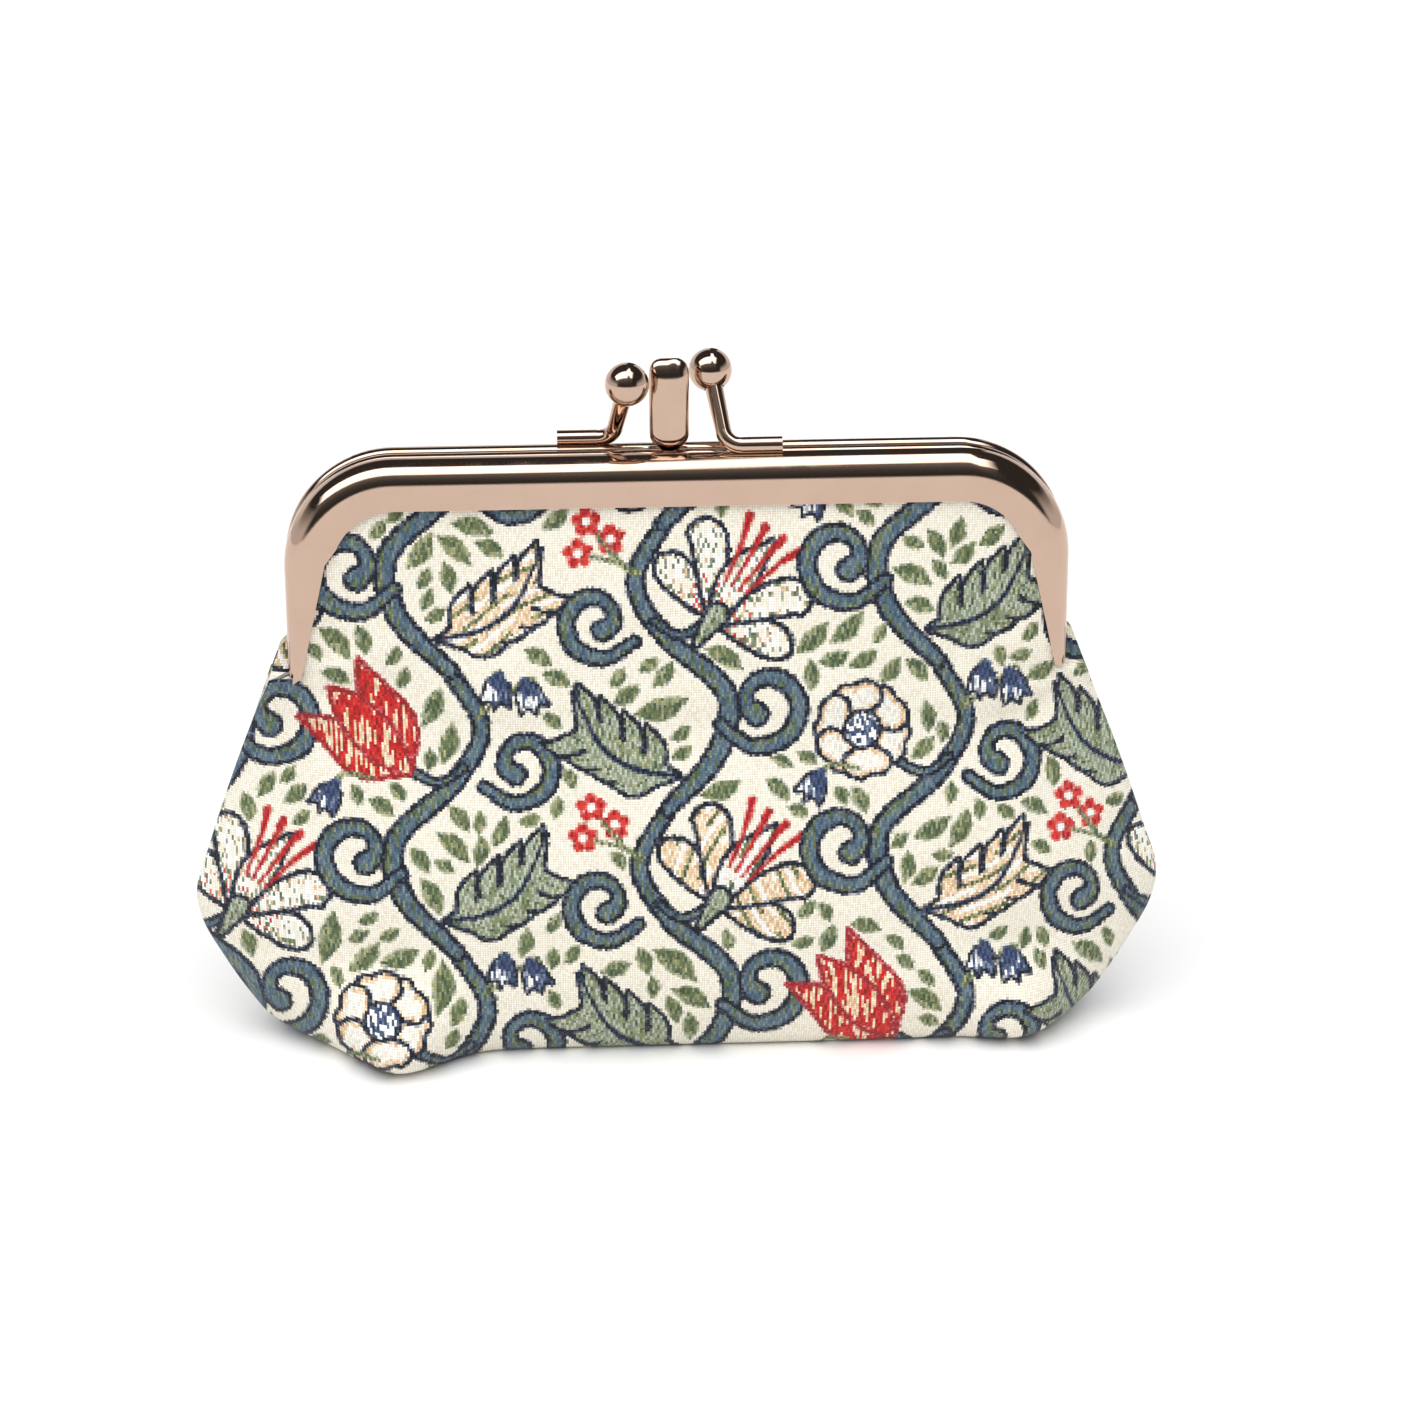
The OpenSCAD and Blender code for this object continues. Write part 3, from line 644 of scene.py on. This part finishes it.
def new_mesh(name, points, faces, material):
    mesh = bpy.data.meshes.new(name)
    mesh.from_pydata((np.asarray(points, float) * MM).tolist(), [], faces)
    mesh.materials.append(material)
    mesh.update()
    mesh.polygons.foreach_set("use_smooth", np.ones(len(mesh.polygons), bool))
    obj = bpy.data.objects.new(name, mesh)
    bpy.context.scene.collection.objects.link(obj)
    return obj


def quads(rows, cols):
    """The faces of a grid of vertices."""
    return [[r * cols + c, r * cols + c + 1, (r + 1) * cols + c + 1, (r + 1) * cols + c]
            for r in range(rows - 1) for c in range(cols - 1)]


def grid_faces(reach, cols):
    """Cells of the cloth as lists of vertex numbers, cut at the outline, with the row and column of each."""
    rows, middle = len(reach), cols // 2
    low, high = middle - reach[:, None], middle + reach[:, None]
    ids = np.arange(rows)[:, None] * cols + np.clip(np.arange(cols)[None], low, high)
    a, b, c, d = ids[:-1, :-1], ids[:-1, 1:], ids[1:, 1:], ids[1:, :-1]
    keep = (a != b) | (c != d)
    faces, where = [], np.argwhere(keep)
    for q in np.stack([a, b, c, d], -1)[keep].tolist():
        faces.append([v for k, v in enumerate(q) if v != q[k - 1]])
    used = np.unique(np.concatenate([np.array(f) for f in faces]))
    return faces, where, used


def cut_cloth():
    """The outer cloth of one side: its points, how far each row reaches, and the colour of each thread cell."""
    x, y, z, reach, v = sheet_grid()
    cell = [(p[1:, 1:] + p[1:, :-1] + p[:-1, 1:] + p[:-1, :-1]) / 4 for p in (x, v)]
    weave = Weave(*cell)
    draw_pattern(weave)
    return np.stack(finish_cloth(x, y, z), -1), reach, linear(weave.rgb).reshape(cell[0].shape + (3,))


def tapestry(name, side, cloth):
    """The outer cloth of one side, one face per thread cell."""
    points, reach, rgb = cloth
    rows, cols = points.shape[:2]
    if side > 0:
        points = points * (-1, -1, 1)
    faces, where, used = grid_faces(reach, cols)
    number = np.zeros(rows * cols, int)
    number[used] = np.arange(len(used))
    faces = [[int(number[k]) for k in f] for f in faces]
    obj = new_mesh(name, points.reshape(-1, 3)[used], faces, CLOTH)
    mesh = obj.data
    sizes = np.array([len(f) for f in faces])
    colours = np.concatenate([rgb[where[:, 0], where[:, 1]], np.ones((len(where), 1))], axis=1)
    corners = np.repeat(colours, sizes, axis=0).astype(np.float32)
    mesh.attributes.new("Weave", "FLOAT_COLOR", "CORNER").data.foreach_set("color", corners.ravel())
    loops = np.empty(len(mesh.loops), np.int32)
    mesh.loops.foreach_get("vertex_index", loops)
    at = used[loops]
    thread = np.stack([at % cols, at // cols], -1).astype(np.float32)
    mesh.uv_layers.new(name="Thread").data.foreach_set("uv", thread.ravel())
    flat = (rows * THREAD * MM, 2 * int(reach.max()) * THREAD * MM, float((sizes > 3).sum() * (THREAD * MM) ** 2))
    return obj, flat


def softness(x, z):
    """How far filled cloth stands out from its smooth shape: folds below each rivet, and slow waves."""
    away = np.hypot(np.abs(x) - 54, z - 51)
    angle = np.arctan2(51 - z, 54 - np.abs(x))
    fan = 0.5 * np.exp(-((away - 9) / 9) ** 2) * np.sin(angle * 7 + np.sign(x) * 0.8)
    wave = (0.34 * np.sin(x * 0.16 + z * 0.09 + 0.6) * np.sin(z * 0.15 + 0.4)
            + 0.2 * np.sin(x * 0.33 - z * 0.12 + 2.0) * np.sin(z * 0.27 + x * 0.05))
    calm = step(0, 9, z) * (1 - step(62, 76, z)) * (1 - step(46, 50, np.abs(x)) * step(52, 56, z))
    return (wave + fan) * calm * np.clip(1 - (np.abs(x) / np.maximum(half_width(z), 1)) ** 8, 0, 1)


def finish_cloth(x, y, z):
    """Rounds the fold at the base and adds the softness."""
    inside = 1 - np.clip(np.abs(x) / np.maximum(half_width(z), 1), 0, 1)[1:-1] ** 40
    for _ in range(8):
        for p in (y, z):
            p[1:-1] += 0.25 * inside * (p[2:] + p[:-2] - 2 * p[1:-1])
    return x, y - softness(x, z), z


# ---------------------------------------------------------------- pieces

METAL = rose_gold("rose_gold")
CLOTH = woven_cloth("tapestry_cloth")
LINING = lining_cloth("cotton")
PAPER = paper_cord("paper")

for node in ("middle_frame", "pivot_rivets", "pivot_washers", "front_frame", "front_ball_stem", "front_ball",
             "back_frame", "back_ball_stem", "back_ball"):
    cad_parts[node].material_slots[0].material = METAL
for node in ("middle_paper_cord", "front_paper_cord", "back_paper_cord"):
    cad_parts[node].material_slots[0].material = PAPER


def dress(obj, leaf, flat, slot_name, held, *nodes):
    """Bakes a sheet's placement into its points and hides the CAD nodes it stands in for."""
    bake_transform(obj)
    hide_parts(*nodes)


cut = cut_cloth()
for name, side, leaf in (("front", -1, "front_leaf"), ("back", 1, "back_leaf")):
    cloth, flat = tapestry(name + "_tapestry", side, cut)
    dress(cloth, leaf, flat, "woven_tapestry", "gathered", name + "_pouch_wall", name + "_panel")


def inner_sheet(name, side):
    """The lining of one pocket: inside the cloth, over the floor, up to the frame."""
    levels = np.concatenate([np.linspace(-FLOOR_DEPTH, -0.6, 10), np.linspace(0.4, 79.5, 80)])
    u = np.sin(np.linspace(-math.pi / 2, math.pi / 2, 101))
    z = np.repeat(levels[:, None], len(u), 1)
    up = np.maximum(z, 0)
    x = u[None] * (half_width(up) - 1.4 + 0.6 * step(50, 60, z))
    y = np.maximum(cloth_depth(x, up) + softness(x, up) - 1.2, 0.9) * (1 + np.minimum(z, 0) / FLOOR_DEPTH)
    points = np.stack([-x * side, y * side, np.maximum(up, 1.3)], -1)
    obj = new_mesh(name, points.reshape(-1, 3), quads(len(levels), len(u)), LINING)
    return obj, (92 * MM, 128 * MM, 0.0105)


for name, side, leaf in (("front", -1, "front_leaf"), ("back", 1, "back_leaf")):
    lining, flat = inner_sheet(name + "_lining_cloth", side)
    dress(lining, leaf, flat, "cotton_lining", "gathered", name + "_pocket_lining", name + "_panel_lining")


def divider_sheet():
    """The lining between the pockets: flat, with the middle frame's outline at the top and the pouch's below."""
    levels = np.concatenate([np.linspace(1.9, 45, 44), np.linspace(46, 82.2, 44)])
    waist = 47.4
    throat = waist + (CORNER_X + CORNER_R - waist) * step(47, 55, levels)
    upper = CORNER_X + np.sqrt(np.maximum(0, CORNER_R**2 - np.maximum(0, levels - CORNER_Z) ** 2))
    limit = 55.0 - 7.6 * step(38, 45.5, levels) + 20 * (1 - step(30, 40, levels))
    below = np.minimum(curve(HALF_WIDTH, levels) - 2.6, limit)
    w = np.where(levels < 45, below, np.where(levels > CORNER_Z, upper, throat))
    u = np.linspace(-1, 1, 61)
    x = u[None] * w[:, None]
    z = np.repeat(levels[:, None], len(u), 1)
    y = 0.22 * np.sin(x * 0.11 + 0.8) * np.sin(z * 0.07) * np.clip((82.2 - z) / 20, 0, 1)
    points = np.stack([x, y, z], -1).reshape(-1, 3)
    return new_mesh("divider_cloth", points, quads(len(levels), len(u)), LINING)


divider = divider_sheet()
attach(divider, "pouch")
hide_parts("divider")


def rounded_post():
    """The centre post: a bar with a convex face and full rounding at both ends, on a short neck."""
    low, high, half_w, half_d = 83.75, 96.4, 2.7, 1.7
    levels = [(83.3, 1.4, 0.7), (83.9, 1.4, 0.7)]
    for k in np.linspace(0.58, 1, 12):
        a = k * math.pi / 2
        levels.append((low + 2.5 * (1 - math.cos(a)), half_w * math.sin(a),
                       half_d * min(1, 0.25 + 0.75 * math.sin(a) ** 0.8)))
    levels += [(z, half_w, half_d) for z in np.linspace(low + 2.9, high - 3.2, 14)]
    levels += [(high - 2.9 + 2.9 * math.sin(a), half_w - 1.9 * (1 - math.cos(a)) ** 1.5,
                half_d - 1.6 * (1 - math.cos(a))) for a in np.linspace(0, math.pi / 2, 14)]
    levels.append((high, 0.01, 0.01))
    count = 64
    turn = np.linspace(0, 2 * math.pi, count, endpoint=False)
    c, s = np.cos(turn), np.sin(turn)
    points = []
    for z, w, d in levels:
        swell = 0.86 + 0.14 * math.sin(math.pi * min(max((z - low) / (high - low), 0), 1))
        points.append(np.column_stack([-1 + w * np.sign(c) * np.abs(c) ** 0.78,
                                       d * swell * np.sign(s) * np.abs(s) ** 0.78, np.full(count, z)]))
    faces = [[r * count + k, r * count + (k + 1) % count, (r + 1) * count + (k + 1) % count, (r + 1) * count + k]
             for r in range(len(levels) - 1) for k in range(count)]
    faces.append(list(range(count - 1, -1, -1)))
    faces.append([(len(levels) - 1) * count + k for k in range(count)])
    return new_mesh("rounded_post", np.vstack(points), faces, METAL)


post = rounded_post()
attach(post, "pouch")
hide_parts("clasp_post")

# ---------------------------------------------------------------- floor, light and camera

floor = Nodes("floor_paper")
grain = floor.noise(60.0, 4.0)
paper = floor.mix(floor.ramp(grain, 0.3, 0.7, 0.0, 1.0), (0.955, 0.955, 0.955, 1), (0.97, 0.97, 0.967, 1))
floor.set(Base_Color=paper, Roughness=0.85)
FLOOR_HALF, FLOOR_Z = 3000, -0.05
corners = [(FLOOR_HALF * a, FLOOR_HALF * b, FLOOR_Z) for a, b in ((-1, -1), (1, -1), (1, 1), (-1, 1))]
ground = new_mesh("floor", corners, [[0, 1, 2, 3]], floor.material)


def fill_light(name, at, power):
    """A soft panel aimed at the purse, not seen in its metal."""
    light = bpy.data.lights.new(name, "AREA")
    light.shape, light.size, light.size_y, light.energy = "RECTANGLE", 1.2, 0.9, power
    obj = bpy.data.objects.new(name, light)
    bpy.context.scene.collection.objects.link(obj)
    obj.location = at
    obj.rotation_euler = (Vector((0, 0, 0.04)) - Vector(at)).to_track_quat("-Z", "Y").to_euler()
    obj.visible_glossy = False
    obj.visible_camera = False


sun = bpy.data.objects.new("soft_sun", bpy.data.lights.new("soft_sun", "SUN"))
bpy.context.scene.collection.objects.link(sun)
sun.data.energy = 2.75
sun.data.angle = math.radians(70)
sun.rotation_euler = Vector((0.10, 0.46, -0.88)).to_track_quat("-Z", "Y").to_euler()
sun.visible_glossy = False
fill_light("front_fill", (-0.3, -1.1, 0.35), 0.9)
fill_light("back_fill", (0.35, 1.15, 0.5), 3.0)

world = bpy.data.worlds.new("studio")
bpy.context.scene.world = world
world.use_nodes = True
tree = world.node_tree
tree.nodes.clear()


def world_node(kind, **settings):
    node = tree.nodes.new("ShaderNode" + kind)
    for key, value in settings.items():
        setattr(node, key, value)
    return node


def world_link(value, socket):
    if isinstance(value, bpy.types.NodeSocket):
        tree.links.new(value, socket)
    else:
        socket.default_value = value


def world_math(operation, *values):
    node = world_node("Math", operation=operation)
    for socket, value in zip(node.inputs, values):
        world_link(value, socket)
    return node.outputs[0]


def world_bands(value, stops):
    """Brightness by place, through (place, brightness) stops."""
    node = world_node("ValToRGB")
    world_link(value, node.inputs[0])
    ramp = node.color_ramp
    while len(ramp.elements) < len(stops):
        ramp.elements.new(0.5)
    for element, (place, level) in zip(ramp.elements, stops):
        element.position = place
        element.color = (level, level, level, 1)
    return node.outputs[0]


def world_mix(factor, a, b):
    node = world_node("Mix", data_type="RGBA")
    for value, socket in ((factor, node.inputs[0]), (a, node.inputs[6]), (b, node.inputs[7])):
        world_link(value, socket)
    return node.outputs[2]


# What the metal reflects: a dark room with one overhead panel, and pale walls at both sides and behind.
split = world_node("SeparateXYZ")
world_link(world_node("TexCoord").outputs["Generated"], split.inputs[0])
sideways = world_math("ABSOLUTE", split.outputs[0])
# the angle from the front horizon, over the top, to the back horizon, as 0 to 1
frontward = world_math("MULTIPLY", split.outputs[1], -1.0)
turn = world_math("DIVIDE", world_math("ARCTAN2", split.outputs[2], frontward), math.pi)
# the panel hangs higher on the right
lift = world_bands(split.outputs[0], [(0.0, 1.0), (0.03, 1.0), (0.075, 0.8), (0.2, 0.8), (0.3, 1.0)])
turn = world_math("MULTIPLY", turn, lift)
horizon, far_wall = [(0.0, 0.5), (0.012, 0.07), (0.04, 0.04)], [(0.78, 0.04), (0.84, 0.9), (1.0, 0.95)]
dark_room = horizon + far_wall
panel = horizon + [(0.14, 0.08), (0.265, 0.22), (0.285, 2.8), (0.47, 3.6), (0.495, 0.05)] + far_wall
in_panel = world_math("MULTIPLY", world_bands(sideways, [(0.0, 1.0), (0.78, 1.0), (0.84, 0.0)]),
                      world_bands(split.outputs[0], [(0.0, 1.0), (0.34, 1.0), (0.5, 0.0)]))
room = world_mix(in_panel, world_bands(turn, dark_room), world_bands(turn, panel))
low = world_bands(split.outputs[2], [(0.0, 1.0), (0.12, 1.0), (0.42, 0.0)])
walls = world_math("MULTIPLY", low, world_bands(sideways, [(0.0, 0.0), (0.72, 0.0), (0.86, 1.0)]))
reflected = world_mix(walls, room, (0.75, 0.75, 0.75, 1))

seen = world_node("LightPath")
lit = world_mix(seen.outputs["Is Glossy Ray"], (0.34, 0.34, 0.345, 1), reflected)
background = world_node("Background")
world_link(world_mix(seen.outputs["Is Camera Ray"], lit, (1, 1, 1, 1)), background.inputs[0])
world_link(background.outputs[0], world_node("OutputWorld").inputs[0])

bpy.context.scene.view_settings.view_transform = "Standard"

LENS, DISTANCE, AIM = 100.0, 0.5329, Vector((3.73 * MM, -8 * MM, 49.55 * MM))
YAW, ROLL = math.radians(-3), math.radians(-0.2)
camera = bpy.data.objects.new("camera", bpy.data.cameras.new("camera"))
bpy.context.scene.collection.objects.link(camera)
camera.data.lens = LENS
camera.data.sensor_width = 36
back = Vector((math.sin(YAW) * math.cos(TILT), -math.cos(YAW) * math.cos(TILT), math.sin(TILT)))
camera.location = AIM + back * DISTANCE
camera.rotation_euler = ((-back).to_track_quat("-Z", "Y").to_matrix() @ Matrix.Rotation(ROLL, 3, "Z")).to_euler()
bpy.context.scene.camera = camera
